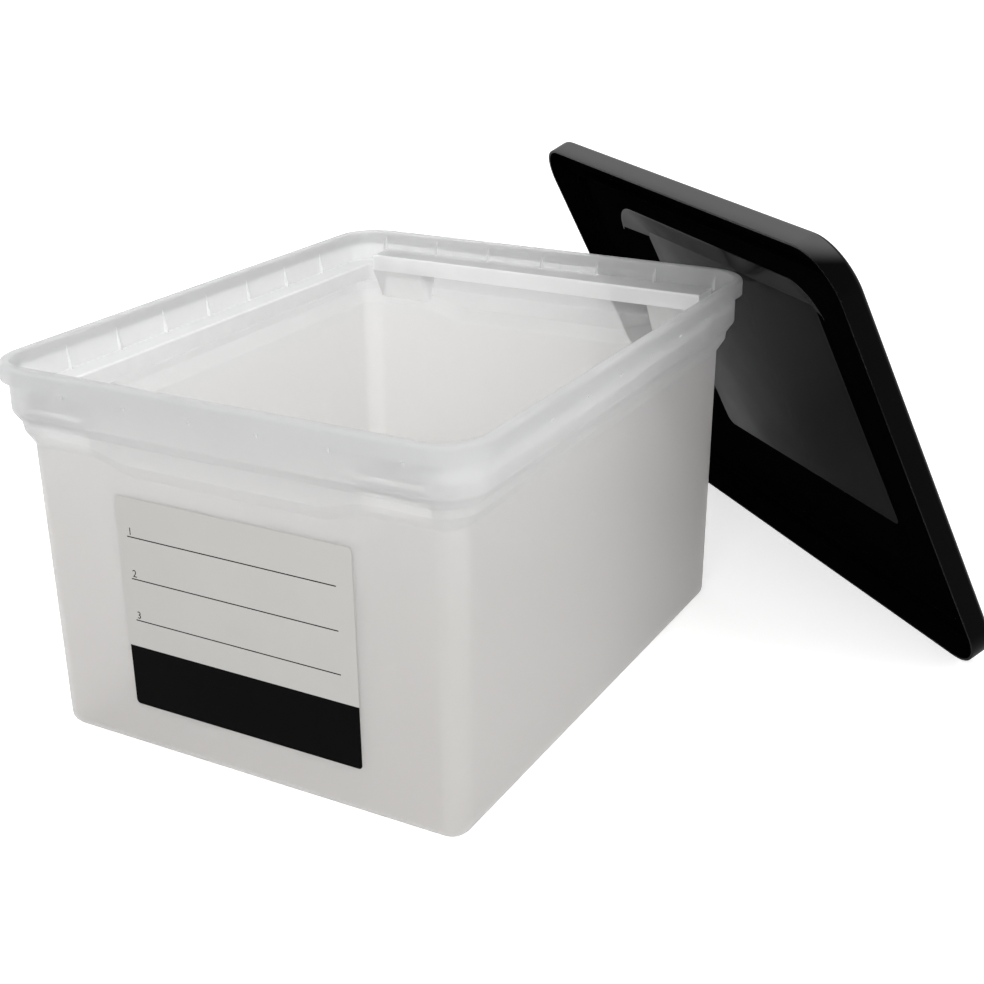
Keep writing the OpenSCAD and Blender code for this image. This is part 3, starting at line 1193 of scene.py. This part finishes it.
# Operators

class FILEBOX_OT_stage(bpy.types.Operator):
    """Adds the camera, the lamps and the floor"""

    bl_idname = "filebox.stage"
    bl_label = "Add Stage"

    def execute(self, context):
        stage = context.scene.filebox_stage
        add_camera(stage)
        for name, place, size, power in LAMPS:
            add_lamp(name, place, size, power)
        light_world()
        deselect()
        bpy.ops.mesh.primitive_circle_add(vertices=96, radius=9, fill_type="NGON")
        floor = context.object
        floor.name = "floor"
        floor.data.materials.append(pale_floor(stage))
        context.scene.view_settings.view_transform = "Standard"
        return {"FINISHED"}


class FILEBOX_OT_tote(bpy.types.Operator):
    """Adds the tote"""

    bl_idname = "filebox.tote"
    bl_label = "Add Tote"

    def execute(self, context):
        tote = context.scene.filebox_tote
        shell = build_tote(tote)
        finish_piece(shell, "tote", "tote_body")
        return {"FINISHED"}


class FILEBOX_OT_lid(bpy.types.Operator):
    """Adds the leaning lid"""

    bl_idname = "filebox.lid"
    bl_label = "Add Lid"

    def execute(self, context):
        lid = context.scene.filebox_lid
        panel = build_lid(lid, context.scene.filebox_tote)
        finish_piece(panel, "lid", "lid")
        return {"FINISHED"}


class FILEBOX_OT_label(bpy.types.Operator):
    """Adds the label"""

    bl_idname = "filebox.label"
    bl_label = "Add Label"

    def execute(self, context):
        label = context.scene.filebox_label
        sheet = build_label(label, context.scene.filebox_tote)
        finish_piece(sheet, "tote", "label")
        return {"FINISHED"}


class FILEBOX_PT_panel(bpy.types.Panel):
    """Lists the pieces and their settings"""

    bl_idname = "FILEBOX_PT_panel"
    bl_label = "File Box"
    bl_space_type = "VIEW_3D"
    bl_region_type = "UI"
    bl_category = "File Box"

    def draw(self, context):
        for name in GROUPS:
            box = self.layout.box()
            box.operator("filebox." + name)
            settings = getattr(context.scene, "filebox_" + name)
            for key in settings.__annotations__:
                box.prop(settings, key)


GROUPS = {
    "stage": StageSettings,
    "tote": ToteSettings,
    "lid": LidSettings,
    "label": LabelSettings,
}
CLASSES = (
    *GROUPS.values(), FILEBOX_OT_stage, FILEBOX_OT_tote, FILEBOX_OT_lid, FILEBOX_OT_label,
    FILEBOX_PT_panel,
)


def register():
    """Registers the settings, operators and panel."""
    for item in CLASSES:
        bpy.utils.register_class(item)
    for name, group in GROUPS.items():
        setattr(bpy.types.Scene, "filebox_" + name, PointerProperty(type=group))


def unregister():
    """Takes the settings, operators and panel away."""
    for name in GROUPS:
        delattr(bpy.types.Scene, "filebox_" + name)
    for item in reversed(CLASSES):
        bpy.utils.unregister_class(item)


def main():
    """Builds the whole scene."""
    register()
    deselect()
    bpy.ops.filebox.stage()
    bpy.ops.filebox.tote()
    bpy.ops.filebox.lid()
    bpy.ops.filebox.label()


if __name__ == "__main__":
    main()
